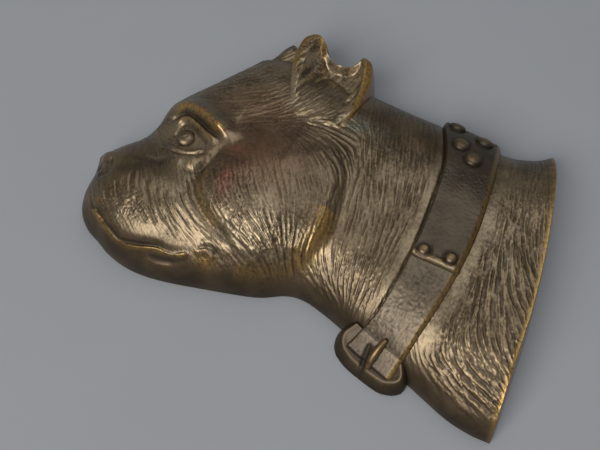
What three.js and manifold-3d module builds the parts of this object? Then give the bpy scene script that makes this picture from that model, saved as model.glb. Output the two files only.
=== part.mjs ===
// A bronze paperweight: a dog's head and collared neck in profile, lying on its flat back.
//
// Millimetres. X runs from the nose (-X) to the cut edge of the neck (+X), Y from the throat
// (-Y) to the ears (+Y), and Z up from the desk. The origin is the centre of the footprint,
// on the desk. The sculpted parts are separate solids with a fine gap between neighbours.

import * as THREE from 'three';
import { mergeVertices } from 'three/addons/utils/BufferGeometryUtils.js';
import Module from 'manifold-3d';

const wasm = await Module();
wasm.setup();

// Driving dimensions
const GAP = 0.3; // clearance between neighbouring pieces
const LIP = 0.9; // upright edge all round the flat back
const CUT_SLOPE = 8; // rise over run of the cut face of the neck
const CUT_ROUND = 1.6; // rounding where the cut face meets the neck
const CHEEK_RISE = 3.2; // how far the cheek stands above the neck
const STRAP_THICKNESS = 1.6;
const STRAP_END_THICKNESS = 0.9; // the lapped end lies one step lower
const STUD = { radius: 2.7, rise: 1.4 };
const RIVET = { radius: 1.9, rise: 1.2 };
const EYE = { x: -43.1, y: -4.1, radius: 3, sink: 1.2 };
const BUCKLE = { rim: 4.3, slope: 0.7, reach: 4.5, round: 2.4 }; // ramp from the strap to the rim
const PRONG_RADIUS = 0.9;

// The rounded edge swells from the flat back to a crown: along X, how far in from the
// outline the swell reaches, and how high it stands
const SWELL_REACH = [[-60, 17], [-20, 26], [20, 32]];
const SWELL_CROWN = [[-68, 14.5], [-50, 17], [-12, 19.5], [20, 18.5], [68, 18]];

// The four sides of the head's outline
const CHIN_TO_NOSE = [
  [-57, -38.3], [-61.3, -36.4], [-65, -33], [-67.1, -27.5], [-67.6, -20.5], [-69.2, -15.2],
];
const THROAT = [
  [-57, -38.3], [-52.5, -40.6], [-46.5, -42.3], [-40, -42.7], [-33, -41.9], [-24, -40], [-11, -36.9],
  [-5, -35], [1, -31.8], [6, -31], [12, -32.2], [20, -34.8], [31, -38.5], [43, -42.6], [54.5, -46.9],
  [62, -48.4], [68, -48.5],
];
const CUT_EDGE = [
  [68, -48.5], [68.3, -43], [68.1, -31], [68, -19], [67.1, -6], [65.5, 7], [63.3, 20], [60.8, 32],
  [57.4, 42.3],
];
const BROW_TO_NAPE = [
  [-69.2, -15.2], [-64.6, -9.2], [-59.8, -3.8], [-58.1, 2], [-57.9, 7.5], [-56, 13], [-49.2, 22.9],
  [-42.1, 33.3], [-37.8, 38.6], [-27, 42], [-12.5, 41], [1, 39.8], [14, 38.9], [22, 38.5],
  [34, 37.3], [44.5, 36.2], [51.5, 38], [55, 40.2], [57.4, 42.3],
];

// Forms on the face
const BROW = [[-55.5, 2.2], [-50, 4.7], [-44.7, 4.2], [-37.9, 1.6], [-29, -1.5]];
const MOUTH = [
  [-58, -34.7], [-53.5, -37.1], [-47, -38.8], [-41, -38.7], [-31.5, -37.2], [-26, -35.2],
  [-21.4, -31.4], [-15.5, -33.4],
];
const CHEEK = [
  [-14.3, 12.6], [-4.2, 8.8], [2.7, 4.8], [5.8, -2.4], [7.5, -16], [5.1, -23.2], [1.6, -31],
  [-15.5, -33.5], [-26.5, -27], [-32.6, -18.5], [-32.1, -10.8], [-28, -5],
];

// Collar, from the nape to the throat
const COLLAR_FRONT = [
  [21.5, 43], [22.7, 38.5], [26, 28.5], [29, 17.3], [30.2, 4.5], [30.5, -8], [30.1, -17],
  [28.3, -29], [25.2, -36], [23.3, -39.5],
];
const COLLAR_REAR = [
  [42.3, 42], [42.5, 36.4], [43.3, 23.8], [44.8, 8.4], [45.1, -2.6], [44.6, -12], [42.9, -24.2],
  [40.4, -35], [38.9, -41], [38, -45],
];
// How far along each edge the straps start and end
const START = { front: 0, rear: 0 };
const LAP = { front: 0.69, rear: 0.655 };
const END = { front: 1, rear: 1 };
const NAPE_STUDS = [[31.1, 26], [36.9, 31.5], [36, 21.5], [27.6, 34.2]];
const LAP_RIVETS = [[33.4, -11.8], [40.9, -11.5]];
const BUCKLE_OUTLINE = [
  [23, -31.5], [20.6, -33.6], [19.4, -36.6], [19.7, -39.6], [21.6, -42.4], [24.8, -44.6],
  [30.4, -46.5], [35.5, -47.7], [39.6, -47], [41.9, -45], [42.4, -42.5], [41, -39],
];
// The prong's path, with its lift off the buckle where it lies on the strap
const PRONG = [[30.9, -43.8, 0], [31.2, -41.6, 0.9], [31.9, -39, 0.9], [33, -36.4, 0.9]];

// Near ear, a cup that opens upwards: its four sides, from the front of its base
const EAR_FRONT = [
  [-21.6, 19], [-24.8, 26], [-27.6, 35.2], [-28.3, 42], [-27.7, 45.6], [-25.4, 48.5],
];
const EAR_REAR = [[-0.2, 18.5], [0.8, 25], [0.6, 33], [-0.4, 39], [-2.4, 44], [-5.4, 46]];
const EAR_BASE = [
  [-21.6, 19], [-16.6, 14.5], [-11.3, 12.5], [-6.6, 12.8], [-2.5, 15.3], [-0.2, 18.5],
];
const EAR_TOP = [
  [-25.4, 48.5], [-22, 48.4], [-18.9, 46.2], [-16.5, 42.8], [-13, 40.6], [-9.6, 42.2], [-7.6, 45],
  [-5.4, 46],
];
const EAR_HEIGHT = { base: 22.2, tip: 16.4, bowl: 4.5, floor: 1.2 };
const CENTRE_SHIFT = 0.45; // brings the middle of the footprint to the origin along X

// Far ear, a low sliver behind the near one
const FAR_EAR_OUTSIDE = [[-39, 35.4], [-36.4, 40.4], [-35, 44.4], [-32.9, 47.6], [-30.4, 48.3]];
const FAR_EAR_INSIDE = [[-31, 33], [-30.6, 36], [-30, 40], [-29.2, 44], [-28.4, 47]];
const FAR_EAR_HEIGHT = { edge: 6.4, crest: 10.4 };

// A value read off a list of [place, value] pairs, with straight lines between them
function along(pairs, x) {
  if (x <= pairs[0][0]) return pairs[0][1];
  for (let i = 1; i < pairs.length; i += 1) {
    const [x1, y1] = pairs[i];
    const [x0, y0] = pairs[i - 1];
    if (x <= x1) return THREE.MathUtils.mapLinear(x, x0, x1, y0, y1);
  }
  return pairs[pairs.length - 1][1];
}

const spline = (points) => new THREE.SplineCurve(points.map(([x, y]) => new THREE.Vector2(x, y)));

const sides = {
  left: spline(CHIN_TO_NOSE),
  bottom: spline(THROAT),
  right: spline(CUT_EDGE),
  top: spline(BROW_TO_NAPE),
};

// Distance from a point to a chain of points
function distanceTo(chain, x, y) {
  let nearest = Infinity;
  for (let i = 1; i < chain.length; i += 1) {
    const a = chain[i - 1];
    const b = chain[i];
    const dx = b.x - a.x;
    const dy = b.y - a.y;
    const lengthSquared = dx * dx + dy * dy || 1;
    const t = THREE.MathUtils.clamp(((x - a.x) * dx + (y - a.y) * dy) / lengthSquared, 0, 1);
    nearest = Math.min(nearest, Math.hypot(x - a.x - t * dx, y - a.y - t * dy));
  }
  return nearest;
}

// Whether a point lies inside a closed chain of points, by counting the edges to its right
function isInside(chain, x, y) {
  let inside = false;
  for (let i = 0, j = chain.length - 1; i < chain.length; j = i, i += 1) {
    const a = chain[i];
    const b = chain[j];
    if (a.y > y !== b.y > y && x < ((b.x - a.x) * (y - a.y)) / (b.y - a.y) + a.x) inside = !inside;
  }
  return inside;
}

const CURVE_STEPS = 60;
const sample = (curve) => curve.getSpacedPoints(CURVE_STEPS);
const roundedEdge = [...sample(sides.bottom).reverse(), ...sample(sides.left), ...sample(sides.top)];
const cutEdge = sample(sides.right);
const outline = [...roundedEdge, ...cutEdge.slice().reverse()];
const browLine = sample(spline(BROW));
const mouthLine = sample(spline(MOUTH));
const cheekLine = sample(spline([...CHEEK, CHEEK[0]]));

const bump = (distance, width) => Math.exp(-((distance / width) ** 2));

// Height of the relief above its back at a place, for a surface grown outwards by `grow`:
// a quarter ellipse in from the rounded edge, then the forms of the face, then the cut face
function reliefHeight(x, y, grow = 0) {
  const side = isInside(outline, x, y) ? 1 : -1;
  const inward = side * distanceTo(roundedEdge, x, y) + grow;
  const t = THREE.MathUtils.clamp(inward / along(SWELL_REACH, x), 0, 1);
  let z = LIP + grow + along(SWELL_CROWN, x) * Math.sqrt(1 - (1 - t) ** 2);

  const cheekSide = isInside(cheekLine, x, y) ? 1 : -1;
  const cheekDepth = cheekSide * distanceTo(cheekLine, x, y) + 1;
  z += CHEEK_RISE * THREE.MathUtils.smoothstep(cheekDepth, 0, 5) * Math.min(1, t * 1.5);
  z += 1.4 * bump(distanceTo(browLine, x, y), 2.4) * Math.min(1, t * 2);
  z -= 1.8 * bump(Math.hypot(x - EYE.x, y - EYE.y), 5);
  z -= 1.2 * bump(distanceTo(mouthLine, x, y), 1.5) * Math.min(1, t * 2);

  const fromCut = side * distanceTo(cutEdge, x, y) + grow;
  const cut = LIP + grow + CUT_SLOPE * Math.max(fromCut, 0);
  // smooth lesser of the two heights
  const blend = THREE.MathUtils.clamp(0.5 + (0.5 * (cut - z)) / CUT_ROUND, 0, 1);
  return THREE.MathUtils.lerp(cut, z, blend) - CUT_ROUND * blend * (1 - blend);
}

// Even steps from 0 to 1, drawn closer together towards both ends
const easedSteps = (count) =>
  Array.from({ length: count + 1 }, (_, i) => {
    const s = i / count;
    return 0.45 * s + 0.55 * (0.5 - 0.5 * Math.cos(Math.PI * s));
  });

// The point of a Coons patch: four side curves blended across the area between them
function coons({ left, right, bottom, top }, u, v) {
  const mix = (a, b, t) => new THREE.Vector2().lerpVectors(a, b, t);
  const across = mix(left.getPointAt(v), right.getPointAt(v), u);
  const up = mix(bottom.getPointAt(u), top.getPointAt(u), v);
  const corners = mix(
    mix(bottom.getPointAt(0), bottom.getPointAt(1), u),
    mix(top.getPointAt(0), top.getPointAt(1), u),
    v,
  );
  return across.add(up).sub(corners);
}

// A closed solid over a Coons patch: a top surface from a height rule, an upright wall all
// round and a flat base at `floor`. `grow` pushes the wall outwards.
function patchSolid(patch, columns, rows, heightAt, floor = 0, grow = 0) {
  const us = easedSteps(columns);
  const vs = easedSteps(rows);
  const plan = us.map((u) => vs.map((v) => coons(patch, u, v)));
  const rim = [];
  for (let i = 0; i < columns; i += 1) rim.push([i, 0]);
  for (let j = 0; j < rows; j += 1) rim.push([columns, j]);
  for (let i = columns; i > 0; i -= 1) rim.push([i, rows]);
  for (let j = rows; j > 0; j -= 1) rim.push([0, j]);

  const shifted = rim.map(([i, j], k) => {
    const before = rim[(k + rim.length - 1) % rim.length];
    const after = rim[(k + 1) % rim.length];
    const a = plan[before[0]][before[1]];
    const b = plan[after[0]][after[1]];
    const outward = new THREE.Vector2(b.y - a.y, a.x - b.x).normalize();
    return plan[i][j].clone().addScaledVector(outward, grow);
  });
  rim.forEach(([i, j], k) => plan[i][j].copy(shifted[k]));

  const positions = [];
  const index = (i, j) => i * (rows + 1) + j;
  plan.forEach((line, i) => line.forEach((p, j) => {
    positions.push(p.x, p.y, heightAt(p.x, p.y, us[i], vs[j]));
  }));
  const firstRim = positions.length / 3;
  shifted.forEach((p) => positions.push(p.x, p.y, floor));

  const triangles = [];
  for (let i = 0; i < columns; i += 1) {
    for (let j = 0; j < rows; j += 1) {
      const [a, b, c, d] = [index(i, j), index(i + 1, j), index(i + 1, j + 1), index(i, j + 1)];
      triangles.push(a, b, c, a, c, d);
    }
  }
  rim.forEach(([i, j], k) => {
    const next = (k + 1) % rim.length;
    const a = index(i, j);
    const b = index(...rim[next]);
    triangles.push(a, firstRim + k, b, b, firstRim + k, firstRim + next);
  });
  THREE.ShapeUtils.triangulateShape(shifted, []).forEach(([a, b, c]) => {
    triangles.push(firstRim + a, firstRim + c, firstRim + b);
  });

  const geometry = new THREE.BufferGeometry();
  geometry.setAttribute('position', new THREE.Float32BufferAttribute(positions, 3));
  geometry.setIndex(triangles);
  return geometry;
}

// Between three.js geometry and a solid that can be cut
function toSolid(geometry) {
  const bare = geometry.clone();
  bare.deleteAttribute('normal');
  bare.deleteAttribute('uv');
  const merged = mergeVertices(bare, 1e-4);
  return new wasm.Manifold(new wasm.Mesh({
    numProp: 3,
    vertProperties: new Float32Array(merged.attributes.position.array),
    triVerts: new Uint32Array(merged.index.array),
  }));
}

function toGeometry(solid) {
  const mesh = solid.getMesh();
  const geometry = new THREE.BufferGeometry();
  geometry.setAttribute('position', new THREE.BufferAttribute(mesh.vertProperties, 3));
  geometry.setIndex(new THREE.BufferAttribute(mesh.triVerts, 1));
  return geometry;
}

// Bronze finishes
const patina = new THREE.MeshStandardMaterial({ color: 0x5b4a38, roughness: 0.42, metalness: 0.85 });
const rubbed = new THREE.MeshStandardMaterial({ color: 0x8a6a34, roughness: 0.34, metalness: 0.9 });
const dark = new THREE.MeshStandardMaterial({ color: 0x3d3128, roughness: 0.48, metalness: 0.8 });

const paperweight = new THREE.Group();
paperweight.name = 'paperweight';

function addPiece(name, geometry, material) {
  const shaded = geometry.index ? geometry.toNonIndexed() : geometry;
  shaded.computeVertexNormals();
  const mesh = new THREE.Mesh(shaded, material);
  mesh.name = name;
  paperweight.add(mesh);
}

// Head, neck and shoulder: the body of the casting
const HEAD_COLUMNS = 66;
const HEAD_ROWS = 30;
addPiece('head_casting', patchSolid(sides, HEAD_COLUMNS, HEAD_ROWS, (x, y) => reliefHeight(x, y)), patina);

// The same form grown by the gap, to cut whatever lies on it
const headCutter = toSolid(
  patchSolid(sides, HEAD_COLUMNS, HEAD_ROWS, (x, y) => reliefHeight(x, y, GAP), -1, GAP),
);

// Near ear
function nearEarHeight(x, y, u, v, grow = 0) {
  const slope = THREE.MathUtils.lerp(EAR_HEIGHT.base, EAR_HEIGHT.tip, v);
  const hollow = EAR_HEIGHT.bowl * (4 * u * (1 - u)) ** 1.5 * THREE.MathUtils.smoothstep(v, 0.1, 0.6);
  const roundedRim = 1.2 * (bump(u, 0.04) + bump(1 - u, 0.04));
  const floor = reliefHeight(x, y) + EAR_HEIGHT.floor;
  return Math.max(slope - hollow, floor) - roundedRim + grow;
}
const earSides = {
  left: spline(EAR_FRONT),
  right: spline(EAR_REAR),
  bottom: spline(EAR_BASE),
  top: spline(EAR_TOP),
};
const earSolid = (floor, grow) =>
  toSolid(patchSolid(earSides, 16, 14, (x, y, u, v) => nearEarHeight(x, y, u, v, grow), floor, grow));
const nearEar = earSolid(0, 0);
const earCutter = earSolid(-1, GAP);
addPiece('near_ear', toGeometry(nearEar.subtract(headCutter)), rubbed);

// Far ear
const farEarSides = {
  left: spline(FAR_EAR_OUTSIDE),
  right: spline(FAR_EAR_INSIDE),
  bottom: spline([FAR_EAR_OUTSIDE[0], FAR_EAR_INSIDE[0]]),
  top: spline([FAR_EAR_OUTSIDE.at(-1), FAR_EAR_INSIDE.at(-1)]),
};
const farEar = toSolid(patchSolid(farEarSides, 6, 14, (x, y, u) =>
  THREE.MathUtils.lerp(FAR_EAR_HEIGHT.edge, FAR_EAR_HEIGHT.crest, Math.sqrt(u))));
addPiece('far_ear', toGeometry(farEar.subtract(headCutter).subtract(earCutter)), patina);

// Eyeball, a dome set in its socket
const eyeGeometry = new THREE.SphereGeometry(EYE.radius, 18, 12);
eyeGeometry.translate(EYE.x, EYE.y, reliefHeight(EYE.x, EYE.y) - EYE.sink);
addPiece('eyeball', toGeometry(toSolid(eyeGeometry).subtract(headCutter)), dark);

// Part of a curve, as a curve
function stretch(curve, from, to, steps = 24) {
  const points = [];
  for (let i = 0; i <= steps; i += 1) {
    points.push(curve.getPointAt(THREE.MathUtils.lerp(from, to, i / steps)));
  }
  return new THREE.SplineCurve(points);
}

// A strap between two places along the collar, following the neck it is buckled round
const collarFront = spline(COLLAR_FRONT);
const collarRear = spline(COLLAR_REAR);
function strapBlank(from, to, heightAt) {
  const front = stretch(collarFront, from.front, to.front);
  const rear = stretch(collarRear, from.rear, to.rear);
  const patch = {
    left: stretch(front, 1, 0),
    right: stretch(rear, 1, 0),
    bottom: spline([front.getPointAt(1), rear.getPointAt(1)].map((p) => p.toArray())),
    top: spline([front.getPointAt(0), rear.getPointAt(0)].map((p) => p.toArray())),
  };
  return toSolid(patchSolid(patch, 6, 26, heightAt));
}
const strapHeight = (thickness) => (x, y) => reliefHeight(x, y, thickness);

// The strap's outer face, carried round the throat and the nape: everything past it is cut off
const grownNeck = (thickness) =>
  toSolid(patchSolid(sides, HEAD_COLUMNS, HEAD_ROWS, () => 40, -1, thickness));

// Buckle: a ramp that carries the strap's end off the throat to a rounded rim on the desk
const buckleOutline = spline(BUCKLE_OUTLINE);
const buckleRim = sample(buckleOutline);
function buckleHeight(x, y, grow = 0) {
  const beyond = (isInside(outline, x, y) ? 1 : -1) * distanceTo(roundedEdge, x, y);
  const ramp = BUCKLE.rim + BUCKLE.slope * (beyond + BUCKLE.reach) - 2.2 * Math.max(beyond - 1.6, 0);
  const inward = THREE.MathUtils.clamp((distanceTo(buckleRim, x, y) + grow) / BUCKLE.round, 0, 1);
  return Math.max(ramp * Math.sqrt(1 - (1 - inward) ** 2), 0.5) + grow;
}
const buckleSides = {
  left: stretch(buckleOutline, 0.3, 0),
  bottom: stretch(buckleOutline, 0.3, 0.78),
  right: stretch(buckleOutline, 0.78, 1),
  top: spline([BUCKLE_OUTLINE[0], BUCKLE_OUTLINE.at(-1)]),
};
const buckleSolid = (floor, grow) =>
  toSolid(patchSolid(buckleSides, 16, 10, (x, y) => buckleHeight(x, y, grow), floor, grow));
const buckleCutter = buckleSolid(-1, GAP);

// The lapped end runs off the throat and down the buckle's ramp
const strapEndHeight = (thickness) => (x, y) =>
  Math.max(reliefHeight(x, y, thickness), buckleHeight(x, y) + thickness);

const upperStrap = strapBlank(START, LAP, strapHeight(STRAP_THICKNESS))
  .intersect(grownNeck(STRAP_THICKNESS))
  .subtract(headCutter);
addPiece('collar_strap', toGeometry(upperStrap), dark);

const lapGap = GAP / collarFront.getLength();
const lapStart = { front: LAP.front + lapGap, rear: LAP.rear + lapGap };
const lowerStrap = strapBlank(lapStart, END, strapEndHeight(STRAP_END_THICKNESS))
  .subtract(headCutter)
  .subtract(buckleCutter);
addPiece('collar_strap_end', toGeometry(lowerStrap), dark);

// A domed fastener standing square to the strap
function dome({ radius, rise }) {
  const profile = [new THREE.Vector2(0, 0)];
  const steps = 5;
  for (let i = 0; i <= steps; i += 1) {
    const angle = (i / steps) * (Math.PI / 2);
    profile.push(new THREE.Vector2(radius * Math.cos(angle), rise * Math.sin(angle)));
  }
  profile[profile.length - 1].x = 0;
  return new THREE.LatheGeometry(profile, 14).rotateX(Math.PI / 2);
}

function surfaceNormal(x, y, thickness) {
  const step = 1.5;
  const slopeX = (reliefHeight(x + step, y, thickness) - reliefHeight(x - step, y, thickness)) / (2 * step);
  const slopeY = (reliefHeight(x, y + step, thickness) - reliefHeight(x, y - step, thickness)) / (2 * step);
  return new THREE.Vector3(-slopeX, -slopeY, 1).normalize();
}

// The strap grown by the gap, to seat the domes on it
const strapCutter = strapBlank(START, LAP, strapHeight(STRAP_THICKNESS + GAP));

function placeDome(name, [x, y], size) {
  const normal = surfaceNormal(x, y, STRAP_THICKNESS);
  const turn = new THREE.Quaternion().setFromUnitVectors(new THREE.Vector3(0, 0, 1), normal);
  const geometry = dome(size).applyQuaternion(turn).translate(x, y, reliefHeight(x, y, STRAP_THICKNESS));
  addPiece(name, toGeometry(toSolid(geometry).subtract(strapCutter)), rubbed);
}
NAPE_STUDS.forEach((place, i) => placeDome(`nape_stud_${i + 1}`, place, STUD));
LAP_RIVETS.forEach((place, i) => placeDome(`lap_rivet_${i + 1}`, place, RIVET));

// Buckle and its prong
addPiece('buckle_frame', toGeometry(buckleSolid(0, 0).subtract(headCutter)), rubbed);

function tubeAlong(points, radius, sidesOfSection) {
  const section = new THREE.Shape(
    Array.from({ length: sidesOfSection }, (_, i) => {
      const angle = (2 * Math.PI * i) / sidesOfSection;
      return new THREE.Vector2(radius * Math.cos(angle), radius * Math.sin(angle));
    }),
  );
  const path = new THREE.CatmullRomCurve3(points);
  return new THREE.ExtrudeGeometry(section, { steps: 20, extrudePath: path });
}
const prongPath = PRONG.map(([x, y, lift]) => {
  const seat = Math.max(buckleHeight(x, y) + lift, reliefHeight(x, y, STRAP_END_THICKNESS));
  return new THREE.Vector3(x, y, seat + GAP + 0.5 * PRONG_RADIUS);
});
const strapEndCutter = strapBlank(LAP, END, strapEndHeight(STRAP_END_THICKNESS + GAP));
const prong = toSolid(tubeAlong(prongPath, PRONG_RADIUS, 8))
  .subtract(strapEndCutter)
  .subtract(buckleCutter)
  .subtract(headCutter);
addPiece('buckle_prong', toGeometry(prong), rubbed);

paperweight.position.x = CENTRE_SHIFT;

export default paperweight;
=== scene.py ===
# %% [markdown]
# # A bulldog's head in bronze
# This paperweight is one small bronze casting: a dog's head and collared neck in profile,
# lying on a flat ground back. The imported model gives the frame: where every part lies and
# how large it is. This script puts a finely sculpted, patinated surface on each part.

# %% The fixed frame
import math

import bpy
import numpy as np
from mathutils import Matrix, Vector


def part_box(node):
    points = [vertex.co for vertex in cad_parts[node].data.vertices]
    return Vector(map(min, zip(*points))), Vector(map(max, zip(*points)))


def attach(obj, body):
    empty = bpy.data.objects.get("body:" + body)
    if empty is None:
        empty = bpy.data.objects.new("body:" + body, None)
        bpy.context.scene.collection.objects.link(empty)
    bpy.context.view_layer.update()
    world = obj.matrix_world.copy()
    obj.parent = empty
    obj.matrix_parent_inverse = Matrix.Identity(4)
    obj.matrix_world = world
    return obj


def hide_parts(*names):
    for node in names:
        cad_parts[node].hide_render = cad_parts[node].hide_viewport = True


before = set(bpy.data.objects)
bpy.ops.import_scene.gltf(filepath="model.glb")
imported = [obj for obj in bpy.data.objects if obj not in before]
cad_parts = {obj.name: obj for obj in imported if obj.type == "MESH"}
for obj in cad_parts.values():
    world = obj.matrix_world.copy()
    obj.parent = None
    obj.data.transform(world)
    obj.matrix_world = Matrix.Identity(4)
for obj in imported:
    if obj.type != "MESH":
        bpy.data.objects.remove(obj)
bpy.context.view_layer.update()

print("nodes in the frame:", len(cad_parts))

# %% [markdown]
# ## Lines
# A sculptor starts from a few drawn lines: the outline, the brow, the mouth. Each is kept as
# a short list of points in millimetres and made smooth here, so that a handful of numbers
# gives a flowing line. Other tools would be Bezier curve objects; plain arrays are simpler,
# because every later step asks only how far a place is from a line.

# %% A smooth line through a few points
MM = 0.001


def curve(points, count=70):
    """Smooth line through the points: each stretch is a cubic whose end slopes are half the
    difference of the neighbouring points (Catmull-Rom), resampled at even distances."""
    p = np.array(points, float)
    before = np.vstack([p[:1], p[:-2]])
    after = np.vstack([p[2:], p[-1:]])
    a, b = p[:-1], p[1:]
    slope_a, slope_b = (b - before) / 2, (after - a) / 2
    t = np.linspace(0, 1, 24, endpoint=False)[:, None, None]
    dense = (2 * t**3 - 3 * t**2 + 1) * a + (3 * t**2 - 2 * t**3) * b
    dense = dense + (t**3 - 2 * t**2 + t) * slope_a + (t**3 - t**2) * slope_b
    dense = np.vstack([dense.transpose(1, 0, 2).reshape(-1, p.shape[1]), p[-1:]])
    walked = np.r_[0, np.cumsum(np.linalg.norm(np.diff(dense, axis=0), axis=1))]
    at = np.linspace(0, walked[-1], count)
    return np.column_stack([np.interp(at, walked, column) for column in dense.T])


def nearest(line, x, y):
    """For every place: its distance to the line, +1 where it lies on the left of the line's
    direction and -1 on the right, and how far along the line it is, from 0 to 1."""
    best = np.full(x.shape, 1e9)
    side, along = np.ones(x.shape), np.zeros(x.shape)
    for i, ((ax, ay), (bx, by)) in enumerate(zip(line[:-1], line[1:])):
        dx, dy = bx - ax, by - ay
        f = np.clip(((x - ax) * dx + (y - ay) * dy) / (dx * dx + dy * dy), 0, 1)
        gap = (x - ax - f * dx) ** 2 + (y - ay - f * dy) ** 2
        closer = gap < best
        best = np.where(closer, gap, best)
        side = np.where(closer, np.sign(dx * (y - ay) - dy * (x - ax)), side)
        along = np.where(closer, (i + f) / (len(line) - 1), along)
    return np.sqrt(best), side, along


# %% The outline of the head and neck
CHIN_TO_NOSE = curve([
    (-57, -38.3), (-61.3, -36.4), (-65, -33), (-67.1, -27.5), (-67.6, -20.5), (-69.2, -15.2),
])
THROAT = curve([
    (-57, -38.3), (-52.5, -40.6), (-46.5, -42.3), (-40, -42.7), (-33, -41.9), (-24, -40),
    (-11, -36.9), (-5, -35), (1, -31.8), (6, -31), (12, -32.2), (20, -34.8), (31, -38.5),
    (43, -42.6), (54.5, -46.9), (62, -48.4), (68, -48.5),
], 140)
CUT_EDGE = curve([
    (68, -48.5), (68.3, -43), (68.1, -31), (68, -19), (67.1, -6), (65.5, 7), (63.3, 20),
    (60.8, 32), (57.4, 42.3),
])
BROW_TO_NAPE = curve([
    (-69.2, -15.2), (-64.6, -9.2), (-59.8, -3.8), (-58.1, 2), (-57.9, 7.5), (-56, 13),
    (-49.2, 22.9), (-42.1, 33.3), (-37.8, 38.6), (-27, 42), (-12.5, 41), (1, 39.8),
    (14, 38.9), (22, 38.5), (34, 37.3), (44.5, 36.2), (51.5, 38), (55, 40.2), (57.4, 42.3),
], 140)
rounded_edge = np.vstack([THROAT[::-1], CHIN_TO_NOSE[1:], BROW_TO_NAPE[1:]])
outline = np.vstack([rounded_edge, CUT_EDGE[::-1][1:-1]])

head_low = np.array(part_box("head_casting")[0]) / MM
SHIFT = np.array([head_low[0] - outline[:, 0].min(), head_low[1] - outline[:, 1].min(), 0.0])
print("from the drawing's millimetres to the frame's: add", SHIFT.round(2))

# %% [markdown]
# ## Camera, floor and light
# The camera stands on the viewer's side, well above the desk. One large soft light comes low
# from that same side, so that the slopes facing it shine and the far sides fall dark, which
# is what makes a shallow relief readable. A weak light overhead keeps the darks open.

# %% Camera
AIM = Vector((-2.44, -12.78, 8.0)) * MM
AZIMUTH, ELEVATION, DISTANCE = math.radians(24), math.radians(62), 0.265
sight = Vector((
    math.sin(AZIMUTH) * math.cos(ELEVATION),
    -math.cos(AZIMUTH) * math.cos(ELEVATION),
    math.sin(ELEVATION),
))
camera = bpy.data.objects.new("camera", bpy.data.cameras.new("camera"))
bpy.context.scene.collection.objects.link(camera)
bpy.context.scene.camera = camera
camera.data.lens = 55
camera.data.sensor_width = 36
camera.data.clip_start = 0.01
camera.location = AIM + DISTANCE * sight
camera.rotation_euler = sight.to_track_quat("Z", "Y").to_euler()
print("camera at", [round(c / MM) for c in camera.location], "mm")


# %% Soft lights
def soft_light(name, direction, distance, size, watts, tint):
    """A square area light at the given distance along a direction, facing the casting."""
    lamp = bpy.data.lights.new(name, "AREA")
    lamp.shape, lamp.size, lamp.energy, lamp.color = "SQUARE", size, watts, tint
    holder = bpy.data.objects.new(name, lamp)
    towards = Vector(direction).normalized()
    holder.location = AIM + distance * towards
    holder.rotation_euler = towards.to_track_quat("Z", "Y").to_euler()
    bpy.context.scene.collection.objects.link(holder)


soft_light("window", (-0.14, -0.70, 0.70), distance=1.1, size=0.75, watts=15.5,
           tint=(1.0, 0.985, 0.96))
soft_light("ceiling", (0.05, 0.35, 0.95), distance=0.80, size=0.70, watts=2.8,
           tint=(0.94, 0.97, 1.0))
world = bpy.data.worlds.new("room")
world.use_nodes = True
bpy.context.scene.world = world
world.node_tree.nodes["Background"].inputs["Color"].default_value = (0.86, 0.87, 0.90, 1)
world.node_tree.nodes["Background"].inputs["Strength"].default_value = 0.27
bpy.context.scene.view_settings.view_transform = "Standard"
print("area lights:", len(bpy.data.lights))

# %% [markdown]
# ## Materials as expressions
# A node tree is easier to read as arithmetic. `Wire` stands for one output socket, and
# adding or multiplying wires adds the matching Math nodes. Every other node comes from
# `Finish.node`, which sets the node up and joins its sockets.


# %% Wires and finishes
class Wire:
    """One output socket, with arithmetic that adds Math nodes to its tree."""

    def __init__(self, finish, socket):
        self.finish, self.socket = finish, socket

    def _math(self, operation, a, b):
        """A Math node on two wires or numbers."""
        return self.finish.node("ShaderNodeMath", {"operation": operation}, {0: a, 1: b})

    def __add__(self, other):
        return self._math("ADD", self, other)

    def __sub__(self, other):
        return self._math("SUBTRACT", self, other)

    def __rsub__(self, other):
        return self._math("SUBTRACT", other, self)

    def __mul__(self, other):
        return self._math("MULTIPLY", self, other)

    __radd__, __rmul__ = __add__, __mul__


class Finish:
    """A material under construction, its Principled shader and its object coordinates."""

    def __init__(self, name):
        self.material = bpy.data.materials.new(name)
        self.material.use_nodes = True
        self.tree = self.material.node_tree
        self.shader = self.tree.nodes["Principled BSDF"]
        self.place = self.node("ShaderNodeTexCoord", {}, {}, "Object")

    def node(self, kind, settings, inputs, output=0):
        """Adds one node: its settings first, then the value or wire of each socket."""
        made = self.tree.nodes.new(kind)
        for name, value in settings.items():
            setattr(made, name, value)
        for name, value in inputs.items():
            self.join(made.inputs[name], value)
        return Wire(self, made.outputs[output])

    def join(self, socket, value):
        """Links a wire to a socket, or sets the socket's own value."""
        if isinstance(value, Wire):
            self.tree.links.new(value.socket, socket)
        else:
            socket.default_value = value

    def mix(self, factor, a, b):
        """Colour a where the factor is 0, colour b where it is 1."""
        return self.node(
            "ShaderNodeMix", {"data_type": "RGBA"}, {0: factor, 6: a, 7: b}, output=2
        )

    def noise(self, size, detail=3.0, roughness=0.55):
        """Soft cloudy noise whose patches are about `size` millimetres across."""
        inputs = {"Vector": self.place, "Scale": 1 / (size * MM)}
        inputs |= {"Detail": detail, "Roughness": roughness}
        return self.node("ShaderNodeTexNoise", {}, inputs)

    def step(self, wire, low, high):
        """0 where the wire is below low, 1 above high, eased between."""
        settings = {"interpolation_type": "SMOOTHSTEP"}
        return self.node(
            "ShaderNodeMapRange", settings, {"Value": wire, "From Min": low, "From Max": high}
        )

    def attribute(self, name):
        """A mask that the mesh holds at each vertex."""
        return self.node("ShaderNodeAttribute", {"attribute_name": name}, {}, "Fac")


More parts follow.
